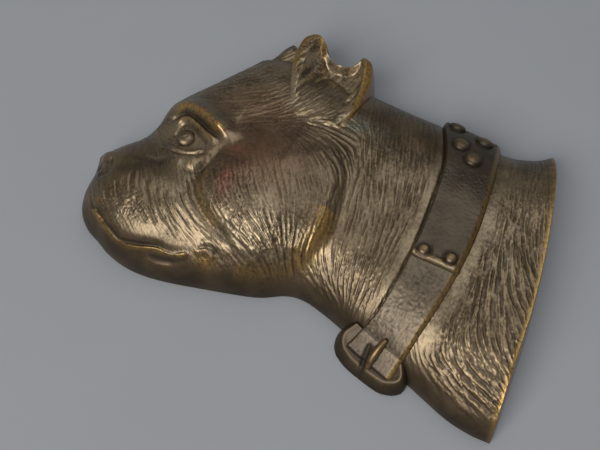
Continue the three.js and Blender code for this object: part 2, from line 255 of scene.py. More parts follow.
# %% The floor
FLOOR_HALF = 2.0
floor_finish = Finish("painted_board")
mottle = floor_finish.noise(60, 2)
floor_finish.join(
    floor_finish.shader.inputs["Base Color"],
    floor_finish.mix(mottle, (0.177, 0.185, 0.197, 1), (0.193, 0.202, 0.215, 1)),
)
floor_finish.shader.inputs["Roughness"].default_value = 0.85
floor_mesh = bpy.data.meshes.new("floor")
floor_mesh.from_pydata(
    [(x * FLOOR_HALF, y * FLOOR_HALF, 0) for x, y in ((-1, -1), (1, -1), (1, 1), (-1, 1))],
    [], [(0, 1, 2, 3)],
)
floor_mesh.materials.append(floor_finish.material)
floor = bpy.data.objects.new("floor", floor_mesh)
bpy.context.scene.collection.objects.link(floor)
print("the floor is", 2 * FLOOR_HALF, "m wide")

# %% [markdown]
# ## The bronze
# Old bronze is never one colour. Dark brown patina lies in the hollows, a thin grey-tan film
# of wax and dust catches the light on the fur, and fingers have rubbed the high edges to a
# golden brown. Some light and shade is painted into the colour as well. The sculpting steps
# below leave masks on every vertex: one on rubbed edges and crests; one for darkening, which
# is dark wax in the grooves and also painted shade at the casting's foot, on its cut face, round
# the studs and rivets, in the slit beside the prong, at the buckle's edge, along the strap's
# edges and end and round the eye; one for the grey-tan film, which is bloom and also painted
# sheen on the lower cheek, the forehead, the fur's crests, the ear and the lap's rolled end;
# `red` and `green` for specks of old wax and verdigris. The finish blends its colours by those
# masks, and noise breaks each one up. Painting an image would need a flat unwrapping of every
# part; masks need none.


# %% One bronze, in two degrees of wear
RED_SPECK, GREEN_SPECK = (0.24, 0.065, 0.042, 1), (0.09, 0.19, 0.18, 1)
# The darkening colour: dark wax in the grooves, and painted shade at the foot, on the cut face
# and in the joins between parts.
WAX_AND_SHADE_DARK = (0.018, 0.0125, 0.009, 1)
METALLIC = 0.70
PIT_DEPTH = 0.06 * MM


def bronze(name, deep, brown, film_and_sheen, gold, smooth):
    """Patina over cast bronze. Colour: deep to brown by cloudy noise, then the grey-tan film
    (bloom, and in places painted sheen), gold, reddish and greenish specks by their masks, then a
    dark colour by the darkening mask (dark wax in grooves, and painted shade). Roughness falls on
    rubbed edges and rises where the darkening mask is high."""
    f = Finish(name)
    rubbed, wax_and_shade = f.attribute("rubbed"), f.attribute("wax_and_shade")
    film_and_sheen_mask, red, green = f.attribute("film_and_sheen"), f.attribute("red"), f.attribute("green")
    clouds, grain = f.noise(9, 4), f.noise(0.9, 5, 0.65)
    colour = f.mix(f.step(clouds, 0.35, 0.68), deep, brown)
    # The grey-tan film: bloom of wax and dust, and in places a painted sheen standing in for
    # highlights.
    film_and_sheen_veil = film_and_sheen_mask * f.step(grain * 0.6 + clouds * 0.4, 0.34, 0.62)
    colour = f.mix(film_and_sheen_veil * (1 - wax_and_shade * 0.8), colour, film_and_sheen)
    colour = f.mix(rubbed * f.step(grain, 0.25, 0.6), colour, gold)
    colour = f.mix(red * f.step(grain, 0.3, 0.7), colour, RED_SPECK)
    colour = f.mix(green * f.step(grain, 0.45, 0.62), colour, GREEN_SPECK)
    # Darkens by the mask: dark wax in the grooves, and painted shade at the foot, the cut face
    # and the joins.
    colour = f.mix(wax_and_shade * 0.82, colour, WAX_AND_SHADE_DARK)
    f.join(f.shader.inputs["Base Color"], colour)
    f.shader.inputs["Metallic"].default_value = METALLIC
    f.join(f.shader.inputs["Roughness"], smooth + grain * 0.16 + wax_and_shade * 0.2 - rubbed * 0.1)
    pits = f.noise(0.35, 3, 0.6)
    bump = f.node(
        "ShaderNodeBump", {}, {"Strength": 0.35, "Distance": PIT_DEPTH, "Height": pits + grain}
    )
    f.join(f.shader.inputs["Normal"], bump)
    return f.material


patina = bronze(
    "bronze_patina", deep=(0.050, 0.033, 0.016, 1), brown=(0.100, 0.068, 0.036, 1),
    film_and_sheen=(0.220, 0.173, 0.108, 1), gold=(0.27, 0.158, 0.042, 1), smooth=0.26,
)
strap_bronze = bronze(
    "bronze_dark", deep=(0.030, 0.021, 0.012, 1), brown=(0.050, 0.036, 0.022, 1),
    film_and_sheen=(0.165, 0.130, 0.088, 1), gold=(0.20, 0.118, 0.036, 1), smooth=0.32,
)
print("bronzes:", patina.name, "and", strap_bronze.name)


# %% [markdown]
# ## From a grid of points to a mesh
# Each part is a grid of points worked out with numpy. `finished` turns the grid into a closed
# mesh: a relief gets a wall and a flat back, a tube gets two end caps.

# %% Closing a grid
MASKS = ("rubbed", "wax_and_shade", "film_and_sheen", "red", "green")


def grid_quads(n, m, closed=False):
    """Four corners of every cell of an n by m grid; `closed` joins the last row to the first."""
    i, j = np.meshgrid(np.arange(n), np.arange(m if closed else m - 1), indexing="ij")
    i, j = i[:-1].ravel(), j[:-1].ravel()
    up = (j + 1) % m
    return np.column_stack([i * m + j, (i + 1) * m + j, (i + 1) * m + up, i * m + up])


def finished(name, points, nodes, material, masks=None, tube=False, flat_back=True,
             normals=None):
    """A closed mesh from an (n, m, 3) grid in drawing millimetres, in the frame's metres. A
    relief drops its rim to height 0 and closes the back; a tube joins its rows' ends and caps
    its first and last row. Each mask is one value, or one for each point of the grid."""
    n, m = points.shape[:2]
    flat = points.reshape(-1, 3)
    quads = grid_quads(n, m, tube)
    if tube:
        caps = [list(range(m)), list(range((n - 1) * m, n * m))[::-1]]
        faces = quads.tolist() + caps
    else:
        rim = np.r_[
            np.arange(n - 1) * m, (n - 1) * m + np.arange(m - 1),
            np.arange(n - 1, 0, -1) * m + m - 1, np.arange(m - 1, 0, -1),
        ]
        foot = flat[rim].copy()
        foot[:, 2] = 0
        below = len(flat) + np.arange(len(rim))
        walls = np.column_stack([rim, below, np.roll(below, -1), np.roll(rim, -1)])
        faces = quads.tolist() + walls.tolist() + [below[::-1].tolist()]
        flat = np.vstack([flat, foot])
    mesh = bpy.data.meshes.new(name)
    mesh.from_pydata(((flat + SHIFT) * MM), [], faces)
    smooth = np.ones(len(faces), bool)
    smooth[-1] = not flat_back
    mesh.polygons.foreach_set("use_smooth", smooth)
    for mask in MASKS:
        values = np.zeros(len(flat), np.float32)
        given = (masks or {}).get(mask, 0.0)
        values[: n * m] = np.broadcast_to(given, (n, m)).ravel()
        mesh.attributes.new(mask, "FLOAT", "POINT").data.foreach_set("value", values)
    mesh.materials.append(material)
    mesh.update()
    if normals is not None:
        corners = np.zeros(len(mesh.loops), np.int32)
        mesh.loops.foreach_get("vertex_index", corners)
        given = np.zeros((len(mesh.loops), 3))
        on_face = np.arange(len(quads) * 4)
        given[on_face] = normals.reshape(-1, 3)[corners[on_face]]
        mesh.normals_split_custom_set(given)
    piece = bpy.data.objects.new(name, mesh)
    bpy.context.scene.collection.objects.link(piece)
    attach(piece, "root")
    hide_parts(*nodes)
    print(name, "has", len(quads) * 2, "triangles")


# %% [markdown]
# ## The clay canvas
# The forms of the face are modelled on a fine square canvas, as a sculptor works on a slab:
# ridges are laid along lines, grooves cut, and one side of a line raised as a terrace. Every
# form is a height added to the canvas near its own line only.

# %% The canvas and its tools
CELL = 0.2
canvas_x = np.arange(-74, 74, CELL)
canvas_y = np.arange(-54, 54, CELL)
X, Y = np.meshgrid(canvas_x, canvas_y)
forms = np.zeros(X.shape)


def ease(v):
    """Smoothstep: 0 below 0, 1 above 1, with level ends."""
    v = np.clip(v, 0, 1)
    return v * v * (3 - 2 * v)


def quarter_round(v):
    """A quarter circle: 0 below 0, rising steeply at first, 1 from 1 on."""
    return np.sqrt(1 - (1 - np.clip(v, 0, 1)) ** 2)


def hump(v):
    """A Gaussian: 1 at 0, falling away on both sides as exp(-v^2)."""
    return np.exp(-(v**2))


def patch_near(line, reach):
    """The slice of the canvas within `reach` of a line's own box."""
    lo = np.floor((line.min(0) - reach - (canvas_x[0], canvas_y[0])) / CELL).astype(int)
    hi = np.ceil((line.max(0) + reach - (canvas_x[0], canvas_y[0])) / CELL).astype(int)
    lo = np.maximum(lo, 0)
    return np.s_[lo[1] : max(hi[1], 0), lo[0] : max(hi[0], 0)]


def taper(along, ends):
    """1 along the middle of a line, easing to 0 over a share of it at each end."""
    first, last = np.broadcast_to(ends, 2)
    return ease(along / first) * ease((1 - along) / last)


def ridge(canvas, points, height, width, ends=0.2):
    """Adds a Gaussian bead along a line: height x exp(-(distance / width)^2), tapered."""
    line = curve(points, 40)
    part = patch_near(line, 3 * width)
    gap, _, along = nearest(line, X[part], Y[part])
    canvas[part] += height * hump(gap / width) * taper(along, ends)


def terrace(canvas, points, height, edge, fall, ends=0.12):
    """Raises the ground on the left of a line: up over `edge`, then away over `fall`."""
    line = curve(points, 50)
    part = patch_near(line, 2.2 * fall)
    gap, side, along = nearest(line, X[part], Y[part])
    gap = gap * side
    shape = ease(gap / edge + 0.5) * hump(np.maximum(gap - edge, 0) / fall)
    canvas[part] += height * shape * taper(along, ends)


def plateau(canvas, points, height, edges, softened=1.3):
    """Raises the inside of a closed line, over an edge whose width follows (share, width),
    then blurs the whole step by the `softened` radius."""
    line = curve(points + points[:1], 120)
    part = patch_near(line, 4)
    gap, side, along = nearest(line, X[part], Y[part])
    width = np.interp(along, *edges)
    raised = np.zeros(X.shape)
    raised[part] = height * ease(gap * side / width + 0.2)
    canvas += blurred(raised, softened)


def mound(canvas, x, y, height, long, wide, turn=0.0):
    """Adds an oval Gaussian mound, `long` and `wide` being its radii, turned in degrees."""
    c, s = math.cos(math.radians(turn)), math.sin(math.radians(turn))
    a, b = ((X - x) * c + (Y - y) * s) / long, ((Y - y) * c - (X - x) * s) / wide
    canvas += height * np.exp(-(a * a + b * b))


def read(canvas, x, y):
    """The canvas at any places, weighing the four nearest cells (bilinear)."""
    fx = np.clip((x - canvas_x[0]) / CELL, 0, len(canvas_x) - 1.001)
    fy = np.clip((y - canvas_y[0]) / CELL, 0, len(canvas_y) - 1.001)
    i, j = fx.astype(int), fy.astype(int)
    a, b = fx - i, fy - j
    low = canvas[j, i] * (1 - a) + canvas[j, i + 1] * a
    high = canvas[j + 1, i] * (1 - a) + canvas[j + 1, i + 1] * a
    return low * (1 - b) + high * b


def blurred(canvas, radius):
    """Gaussian blur: the canvas's spectrum times the Gaussian's own spectrum."""
    fy, fx = np.fft.fftfreq(X.shape[0])[:, None], np.fft.rfftfreq(X.shape[1])[None, :]
    bell = np.exp(-2 * (math.pi * radius / CELL) ** 2 * (fx**2 + fy**2))
    return np.fft.irfft2(np.fft.rfft2(canvas) * bell, s=canvas.shape)


print("the canvas has", X.size, "cells of", CELL, "mm")

# %% [markdown]
# ## Modelling the face
# The big masses first: the cheek stands proud of the neck with a steep rear edge, the muzzle
# swells, the brow rolls over the eye. Then the creases: lids, wrinkles, lips.

# %% Cheek and muzzle
CHEEK_REAR = [
    (1, -31.5), (2.5, -27.4), (4.6, -23.9), (6.6, -20.1), (7.6, -15.7), (7.4, -10.4), (6.6, -5),
    (5.4, 1.6), (3.8, 7), (0.4, 11.4), (-4, 12.8), (-8.6, 12.5),
]
CHEEK_FRONT = [
    (-29.2, -1.8), (-30.1, -3.1), (-31.5, -5.5), (-32.2, -9.2), (-32.9, -12.9), (-33.4, -16.3),
    (-32.7, -19.5), (-30.1, -22.7), (-26.9, -25.3), (-23.2, -27.2), (-19.3, -28.4),
    (-16.1, -29.6),
]
CHEEK = CHEEK_REAR[:-2] + [
    (-5, 14), (-14, 13), (-24, 8), (-30.5, 0), (-33, -8), (-33.6, -16), (-31, -22), (-26, -26),
    (-20, -29), (-14, -33), (-8, -35.5), (-3, -34.5),
]
CHEEK_EDGES = (
    (0, 0.04, 0.20, 0.28, 0.36, 0.60, 0.66, 0.80, 0.88, 0.97, 1),
    (5, 3, 3.6, 7, 20, 20, 9, 6, 8, 7, 5),
)
plateau(forms, CHEEK, 3.0, CHEEK_EDGES)
mound(forms, -8, -22, 0.75, 14, 10)
ridge(forms, [(x + 1.8, y) for x, y in CHEEK_REAR[3:]], -0.25, 2.0, 0.25)
ridge(forms, CHEEK_FRONT, -1.2, 1.7, 0.15)
COLLAR_GROOVE = [(22.2, 38.5), (25.6, 28.5), (28.6, 17.3), (29.8, 4.5), (30.1, -8), (29.7, -17),
                 (27.9, -29), (24.8, -36)]
ridge(forms, [(x + 0.35, y) for x, y in COLLAR_GROOVE], -0.6, 0.5, 0.03)
mound(forms, -51, -23, 1.8, 13, 10, -30)
mound(forms, -38, -24, 0.7, 9, 8, -30)

# %% Brow, lids and tear bag
BROW = [(-57, 0.5), (-55.2, 2.8), (-52.6, 5.4), (-48.4, 5.9), (-43.8, 5.2), (-39.4, 3.7),
        (-34.8, 1.8), (-30.2, -0.1), (-27.5, -1.8)]
BROW_CREASE = [(-52, 0), (-50.4, 2.1), (-47.7, 3.8), (-44.2, 3.1), (-40.7, 1.7), (-36.8, -0.1),
               (-33, -1.2), (-30.6, -1.4)]
UPPER_LID = [(-48.9, -2.6), (-48.3, 1.1), (-46.4, 2.1), (-44, 1.6), (-40.8, 0.1), (-38.1, -1.3),
             (-35.2, -2.5), (-32.9, -3.9)]
LID_LINE = [(-47.2, -4.2), (-46.8, -0.4), (-45.1, 0.4), (-42.6, -0.4), (-39.8, -1.9),
            (-37, -3.6), (-35.4, -4.8)]
LOWER_LID = [(-46.2, -8.2), (-43.7, -9.1), (-41.3, -9.2), (-39.2, -8.7), (-37.5, -7.7),
             (-36.1, -6.0)]
UNDER_LID = [(-46, -9.6), (-43.1, -10.2), (-40.8, -10.1), (-38.5, -9.5), (-36.5, -8.4),
             (-34.7, -6.8)]
BAG_LOW = [(-40.6, -11.8), (-37.9, -14.4), (-35.3, -14.4), (-33.7, -12.7), (-33.3, -9.6)]
STOP_CREASE = [(-43.3, -10.5), (-44.8, -12.6), (-46.8, -14.9), (-50.2, -16.1), (-54, -15)]
mound(forms, -43.2, -4.6, -2.4, 6.5, 4.6, -10)
mound(forms, -50.5, -4, -0.8, 3.5, 5, 20)
mound(forms, -47, -14.6, -1.2, 7, 2.6, -28)
ridge(forms, BROW, 1.3, 2.8, 0.15)
terrace(forms, BROW_CREASE, 1.9, 1.6, 5, 0.22)
ridge(forms, BROW_CREASE, -1.0, 0.7)
ridge(forms, [(x + 0.4, y + 1.3) for x, y in BROW_CREASE], 0.5, 0.9)
ridge(forms, UPPER_LID, 1.0, 0.8, (0.3, 0.15))
ridge(forms, LID_LINE, -0.5, 0.45, 0.12)
ridge(forms, LOWER_LID, 0.45, 0.7)
ridge(forms, UNDER_LID, -0.8, 0.6)
mound(forms, -37.3, -11.2, 1.1, 4.4, 2.8, 25)
ridge(forms, BAG_LOW, -0.55, 1.0)
ridge(forms, STOP_CREASE, -0.7, 2.0, 0.3)

# %% Nose
NOSE_BACK = [(-61.4, -17), (-59.7, -20.2), (-60.2, -23.1), (-63, -23.8)]
mound(forms, -64.2, -17.8, 1.3, 3.2, 2.6, 30)
mound(forms, -64.4, -20.6, -1.4, 1.3, 0.9, 30)
ridge(forms, NOSE_BACK, -0.7, 0.9)

# %% Mouth and chin
LIP_DARK = [
    (-61, -31.6), (-58.5, -33.1), (-56.2, -34.2), (-53.5, -35.9), (-49.4, -37.9),
    (-47.1, -38.8), (-43.5, -38.6), (-39.2, -37.9), (-35.8, -37.2), (-32.7, -37.2),
    (-30.1, -36.7), (-26.7, -35.1), (-25.1, -33.9),
]
LIP_RIDGE = [
    (-60.6, -32.6), (-57.4, -34.6), (-55.6, -35.4), (-53.6, -36.7), (-50.3, -38.5),
    (-47.9, -39.4), (-44.7, -39.8), (-41.3, -39.5), (-37.8, -38.5), (-34.9, -37.9),
    (-32.5, -37.8), (-29.1, -36.9), (-26, -35.4),
]
CORNER_RIDGE = [(-25.3, -35.2), (-24.3, -34.2), (-22.9, -33.6), (-21.5, -33.6), (-20.3, -34.2),
                (-19.5, -34.9)]
CORNER_IN = [(-25.3, -34), (-23.9, -33.1), (-22.3, -32.4), (-20.5, -32.4), (-18.7, -33.1)]
CORNER_OUT = [(-24.8, -33.1), (-23.7, -32.1), (-22.2, -31.1), (-20.1, -31.2), (-17.9, -31.8),
              (-16.6, -33.1)]
JAW_FOLD = [(-39.1, -41.5), (-36.4, -41.2), (-33.1, -40.6), (-30, -40)]
JAW_DARK = [(-37.8, -40.5), (-34.3, -39.8), (-31.2, -38.8), (-28.6, -37.4)]
terrace(forms, LIP_DARK, 1.2, 1.1, 6, (0.08, 0.45))
ridge(forms, LIP_DARK, -1.1, 0.7, (0.08, 0.2))
ridge(forms, LIP_RIDGE, 1.3, 0.8, 0.08)
ridge(forms, CORNER_RIDGE, 0.5, 0.9)
ridge(forms, CORNER_IN, -0.5, 0.5)
ridge(forms, CORNER_OUT, 0.35, 0.9)
ridge(forms, JAW_FOLD, 2.2, 0.9)
ridge(forms, JAW_DARK, -1.5, 0.9, 0.35)

# %% Muzzle wrinkles
WRINKLES = [
    (0.5, [(-47.4, -28.4), (-45.1, -30.3), (-42.7, -32), (-39.8, -34.2)]),
    (0.75, [(-46.4, -22.5), (-44.9, -25), (-42.7, -28), (-40.7, -30.2), (-38.5, -32.2),
           (-36.5, -33.8)]),
    (0.55, [(-42.6, -24), (-41.1, -26.2), (-38.9, -28.7), (-36.8, -30.5), (-34.8, -32.1)]),
    (0.55, [(-40, -23), (-38.2, -25.7), (-35.7, -28), (-33.4, -29.7), (-30.6, -31)]),
    (0.6, [(-37, -24), (-35.4, -26.1), (-32.7, -27.7), (-29.9, -29.2), (-27.3, -30)]),
    (0.6, [(-36, -21), (-33.7, -23.9), (-30.6, -26.3), (-27.7, -28), (-25.1, -28.9)]),
    (0.5, [(-58.5, -24.6), (-56.9, -28.4), (-54.8, -31.2), (-51.7, -33.3)]),
    (0.6, [(-55.7, -22), (-54, -26.6), (-51.6, -30), (-48.3, -32.6)]),
    (0.6, [(-51.6, -21.1), (-49.9, -25.4), (-48, -28.5)]),
]
for depth, line in WRINKLES:
    ridge(forms, line, -0.5 * depth, 0.45)
    ridge(forms, [(x + 1.1, y + 0.8) for x, y in line], 0.35 * depth, 0.8)
print("the face's forms span", forms.min().round(1), "to", forms.max().round(1), "mm")

# %% [markdown]
# ## Fur
# The coat is thousands of short tool strokes that follow the lie of the hair. Drawing each
# stroke would be slow, so noise is combed instead: every cell averages the noise along the
# direction of the hair through it (line integral convolution), which leaves streaks that
# follow the coat. A few dozen guide strokes say which way the hair lies.

# %% The lie of the hair
HAIR_GUIDES = [
    # cheek
    [(-30.7, -18.7), (-26.7, -24.2), (-19.7, -28.3), (-7.7, -31.7)],
    [(-26.7, -19.7), (-21.4, -24.3), (-13.5, -27.9), (-6.9, -30.1)],
    [(-23.4, -19.9), (-16.9, -24.8), (-9, -27.9), (-6, -29.3)],
    [(-18.6, -21), (-12.7, -24.9), (-6.1, -27.7)],
    [(-12.3, -20.4), (-7.4, -24.7), (-3.9, -28.6)],
    [(-8.5, -19.4), (-5.2, -24.1), (-3.7, -26.3)],
    [(-4.8, -18.9), (-2.4, -23.7), (-1.4, -26.1)],
    [(-0.9, -17.6), (0, -23), (-0.1, -25.5)],
    [(1.5, -14.8), (1.9, -20.5), (1.4, -23.5)],
    [(3.2, -11.9), (4, -17.7), (3.3, -20.8)],
    [(3.9, -5.9), (5.5, -12.3)],
    # temple
    [(-30.3, -4.7), (-27.7, -11.3), (-25.4, -15.8)],
    [(-27, -1.5), (-22.9, -7.6), (-19.5, -12.7)],
    [(-23.7, 3.6), (-17.8, -1.9), (-9.3, -12.4)],
    [(-15.4, 4.5), (-9.9, 1.3), (-1.2, -8.6)],
    [(-9.5, 5.2), (-4.2, 2.2), (0.6, -1.7)],
    [(-6.1, 9.7), (-1.1, 7.5), (3.9, 3.7)],
    [(-8.3, 11.9), (-4.1, 12.3), (1, 12.1)],
    # forehead
    [(-46.9, 11.2), (-38.6, 12), (-31.6, 14.7), (-25, 18.3), (-21.9, 22.3), (-22.1, 28.5)],
    [(-39.2, 6.6), (-32.2, 9.1), (-25.6, 12.5), (-20.7, 16)],
    [(-31.5, 4.3), (-25.1, 8), (-16.9, 11.2), (-8.3, 13.4)],
    [(-39.4, 20.3), (-32.7, 24), (-28.1, 28.4)],
    # neck
    [(4.5, 14), (7.2, -1.2), (8.3, -9), (9, -14.7)],
    [(10.8, -4.7), (12.3, -12), (13.2, -20.2), (13.1, -26.6)],
    [(11.7, 6.4), (15.2, -4.4), (17.1, -16.1), (18, -26.5)],
    [(15.7, 16.1), (19.5, 2.8), (21.8, -11.3), (21.7, -22.9), (20.8, -29.4)],
    [(20.8, 23.8), (23.9, 12.2), (25.3, 0.1), (25.4, -11.5), (24.3, -20.7)],
    [(7.9, -23.7), (10.1, -27.3), (13.7, -30)],
    [(3.7, -28), (6.7, -29.1), (10.5, -30.8)],
    [(8, 34), (12, 24), (14, 14)],
    # shoulder
    [(50.7, 27.6), (52.3, 14.6), (53.4, 4.2)],
    [(48.6, -12.8), (49, -18.8), (47.7, -29.7), (50, -36.6), (55, -40.7), (59, -42.5)],
    [(50.1, -4), (51.2, -11.7), (53.3, -24.4), (56.9, -31.3), (63.3, -35.7)],
    [(54.5, -3.6), (55.9, -9.6), (58.9, -23.6), (63.7, -31.4)],
    [(56.5, -1.1), (59.4, -6.4), (63.1, -11.1)],
    [(57.5, -15.5), (60.9, -18.9), (64.4, -22.7)],
    [(45.8, -39.1), (56.4, -43.7), (64.4, -46.7)],
    [(45.1, -30), (47, -37), (50.5, -38.9)],
    [(46.7, 13.8), (48.4, -3.1)],
    [(52, -36.8), (57.3, -40), (65.1, -42.8)],
    [(56.5, 20.7), (58.5, 10), (60.5, 0.7)],
    # ear bowl
    [(-20, 14), (-14, 30), (-12, 40)],
    [(-12, 14), (-7, 27), (-5, 40)],
    # muzzle
    [(-58.5, -24.6), (-54.8, -31.2), (-51.7, -33.3)],
    [(-50, -20), (-44, -29), (-38.5, -32.2)],
    [(-40, -20), (-34, -27), (-26, -29.5)],
]
COARSE = 8
coarse_x, coarse_y = X[::COARSE, ::COARSE], Y[::COARSE, ::COARSE]
turn_x, turn_y = np.zeros(coarse_x.shape), np.zeros(coarse_x.shape)
for guide in HAIR_GUIDES:
    stroke = curve(guide, 9)
    heading = np.gradient(stroke, axis=0)
    twice = 2 * np.arctan2(heading[:, 1], heading[:, 0])
    for (px, py), angle in zip(stroke, twice):
        weight = 1 / ((coarse_x - px) ** 2 + (coarse_y - py) ** 2 + 1.5) ** 1.5
        turn_x += weight * np.cos(angle)
        turn_y += weight * np.sin(angle)
lie = np.arctan2(turn_y, turn_x) / 2


def grow_back(a):
    """The coarse cells repeated over the fine canvas."""
    return np.kron(a, np.ones((COARSE, COARSE)))[: X.shape[0], : X.shape[1]]


lie_x = blurred(grow_back(np.cos(2 * lie)), 1.0)
lie_y = blurred(grow_back(np.sin(2 * lie)), 1.0)
lie = np.arctan2(lie_y, lie_x) / 2
print("hair guides:", len(HAIR_GUIDES))


# %% Combing noise
def combed(seed, size, length):
    """Streaks: noise of a given size averaged along the lie of the hair, both ways, over
    `length` millimetres; the result has mean 0 and spread 1."""
    white = np.random.default_rng(seed).standard_normal(X.shape)
    noise = blurred(white, size) - blurred(white, 2.2 * size)
    total = noise.copy()
    for way in (1, -1):
        x, y = X.copy(), Y.copy()
        dx, dy = way * np.cos(lie), way * np.sin(lie)
        for _ in range(int(length / 2 / CELL)):
            x, y = x + dx * CELL, y + dy * CELL
            angle = read(lie, x, y)
            ex, ey = np.cos(angle), np.sin(angle)
            keep = np.sign(ex * dx + ey * dy)
            dx, dy = ex * keep, ey * keep
            total += read(noise, x, y)
    return (total - total.mean()) / total.std()


locks = np.tanh(combed(11, 0.40, 8))
strokes = np.tanh(combed(12, 0.24, 5))
hairs = np.tanh(combed(14, 0.14, 3.2))
rng = np.random.default_rng(13)
stipple = blurred(rng.standard_normal(X.shape), 0.17)
stipple /= stipple.std()
print("combed strokes span", strokes.min().round(2), "to", strokes.max().round(2))


# %% Where the coat is deep, fine or bare
def oval(x, y, long, wide, turn=0.0):
    """A soft-edged oval mask: 1 inside, easing to 0 at about its radii."""
    mask = np.zeros(X.shape)
    mound(mask, x, y, 1.0, long, wide, turn)
    return mask


def band(points, width):
    """A soft mask along a line, 1 on it and 0 from about twice its width."""
    mask = np.zeros(X.shape)
    ridge(mask, points, 1.0, width, 0.05)
    return np.clip(mask, 0, 1)


COLLAR_FRONT = curve([
    (21.5, 43), (22.7, 38.5), (26, 28.5), (29, 17.3), (30.2, 4.5), (30.5, -8), (30.1, -17),
    (28.3, -29), (25.2, -36), (23.3, -39.5),
])
COLLAR_REAR = curve([
    (42.3, 42), (42.5, 36.4), (43.3, 23.8), (44.8, 8.4), (45.1, -2.6), (44.6, -12),
    (42.9, -24.2), (40.4, -35), (38.9, -41), (38, -45),
])
low_cheek = oval(-7, -26, 14, 6, -15)
flank = ease((X - 45) / 3) * ease((22 - Y) / 26)
nape_side = ease((X - 2) / 6) * (1 - ease((X - 44) / 3))
whorl = oval(1, 8, 6, 8)
lock_depth = 0.02 + 0.10 * flank + 0.13 * low_cheek + 0.16 * whorl
stroke_depth = 0.05 + 0.19 * low_cheek + 0.08 * flank + 0.03 * nape_side + 0.04 * whorl
hair_depth = 0.05 + 0.02 * low_cheek + 0.02 * flank
still = 1 - 0.5 * oval(-22, 0, 16, 9, -10)
bare = 0.6 * band([(x + 1.2, y) for x, y in CHEEK_REAR[1:-3]], 1.2)
bare = np.maximum(bare, band([(x - 1.6, y) for x, y in COLLAR_FRONT[::8]], 1.2))
bare = np.maximum(bare, band([(x + 1.9, y) for x, y in COLLAR_REAR[::8]], 1.7))
bare = np.maximum(bare, band(BROW, 2.0) * 0.8)
bare = np.maximum(bare, oval(-43, -6, 9, 7))
bare = np.maximum(bare, oval(-46, -40, 24, 5, 2))
bare = np.clip(np.maximum(bare, oval(-64, -17, 5, 4)), 0, 1)
muzzle = oval(-48, -25, 15, 11, -25)
pebbled = oval(-49, -30, 11, 5, -12)
coat = locks * lock_depth + strokes * stroke_depth + hairs * hair_depth
pelt = coat * still * (1 - bare) * (1 - 0.55 * muzzle) + stipple * 0.035 * pebbled
print("the coat is up to", pelt.max().round(2), "mm deep")

# %% [markdown]
# ## Where the finish wears, darkens, blooms and takes painted light
# Wear and dirt follow the shape: whatever stands above its blurred self is rubbed bright, and
# whatever lies below it holds dark wax. Ovals and bands then add what handling has done to
# one place only, such as the golden rim of the cheek, and some painted light: a light film as
# a painted highlight on the lower cheek and the fur's crests, and a lighter forehead.

# %% Masks for the finish
relief_detail = forms + pelt
proud = relief_detail - blurred(relief_detail, 1.1)
bold = forms - blurred(forms, 1.1)
fine = pelt - blurred(pelt, 0.7)
rubbed_map = 0.75 * ease((bold - 0.15) / 0.5) + 0.12 * ease(fine / 0.12)
wax_and_shade_map = 0.9 * ease((-proud - 0.10) / 0.7) + 0.6 * ease(-fine / 0.12)
# An oval over the chin, which later takes the film away and darkens it.
chin = oval(-45, -42.5, 25, 4.5, 2)
film_and_sheen_map = 0.30 + 0.4 * oval(-20, -22, 26, 9, 0) + 0.3 * oval(-42, -33, 14, 4, -8)
# Painted highlight: the lower cheek takes a thick, light film where its slope shines.
film_and_sheen_map = film_and_sheen_map - 0.35 * oval(-53, -22, 12, 8, -20) + 0.9 * low_cheek
film_and_sheen_map = film_and_sheen_map - 0.25 * oval(-17, -2, 13, 9)
film_and_sheen_map = film_and_sheen_map + 0.35 * bare - 0.1 * oval(-30, 20, 30, 16) + 0.4 * oval(-41, -6, 9, 6)
# Painted highlights: the fur's crests take more film. The chin is kept clear of film.
film_and_sheen_map = film_and_sheen_map + 0.25 * ease(fine / 0.1) - 0.7 * chin + 0.3 * oval(-12, 22, 10, 9)
film_and_sheen_map = film_and_sheen_map - 0.4 * nape_side * ease((Y - 10) / 14)
# Painted light: the forehead, whose slopes face away from the light, takes a lighter film.
film_and_sheen_map = film_and_sheen_map + 0.6 * oval(-38, 21, 18, 7, 45) + 0.25 * oval(52, -4, 6, 20)
gold_band = band([(1.8, -27), (4.2, -22.5), (5.4, -17), (5.2, -11)], 2.6)
gold_band = np.maximum(gold_band, band([(-14, -35), (-8, -33.6), (-2, -31), (2.8, -27)], 1.8))
gold_band = np.maximum(gold_band, oval(-21.5, -36, 3, 1.6))
gold_band = np.maximum(gold_band, 0.5 * band([(x + 1.6, y) for x, y in CHEEK_FRONT[4:-2]], 1.4))
gold_band = np.maximum(gold_band, 0.6 * band(JAW_FOLD, 1.2))
gold_band = np.maximum(gold_band, band(BROW[1:-1], 1.6) * 0.04)
gold_band = np.maximum(gold_band, band(LIP_RIDGE[1:-2], 1.0) * 0.7)
rubbed_map = np.clip(rubbed_map + gold_band * 0.8, 0, 1)
# Less darkening on the lower cheek, as part of its painted highlight; the chin is darkened.
wax_and_shade_map = wax_and_shade_map * (1 - 0.5 * low_cheek) + 1.0 * chin
wax_and_shade_map = wax_and_shade_map + 0.5 * oval(-46, -14, 8, 2.6, -28) + 0.4 * band(JAW_DARK, 1.2)
red_map = 0.5 * oval(-26, -4, 3, 2.4) + 0.6 * oval(-24.6, -15, 2.4, 6, 12)
red_map = red_map + 0.26 * oval(-19, -4, 11, 11) + 0.2 * oval(-26, 13, 14, 7)
green_map = 0.5 * oval(4, 19.5, 6, 3.2, 10)
print("masks reach", rubbed_map.max().round(2), wax_and_shade_map.max().round(2))

# %% [markdown]
# ## The body of the casting
# The slab's rounded body is a quarter ellipse rising from the outline to a crown, cut off
# behind the shoulder by a steep face. It is computed exactly at every vertex, then the
# canvas's forms are added, and the coat is pushed out along the surface's own normals. The
# mesh is drawn over a Coons patch: four side lines blended across the area between them.

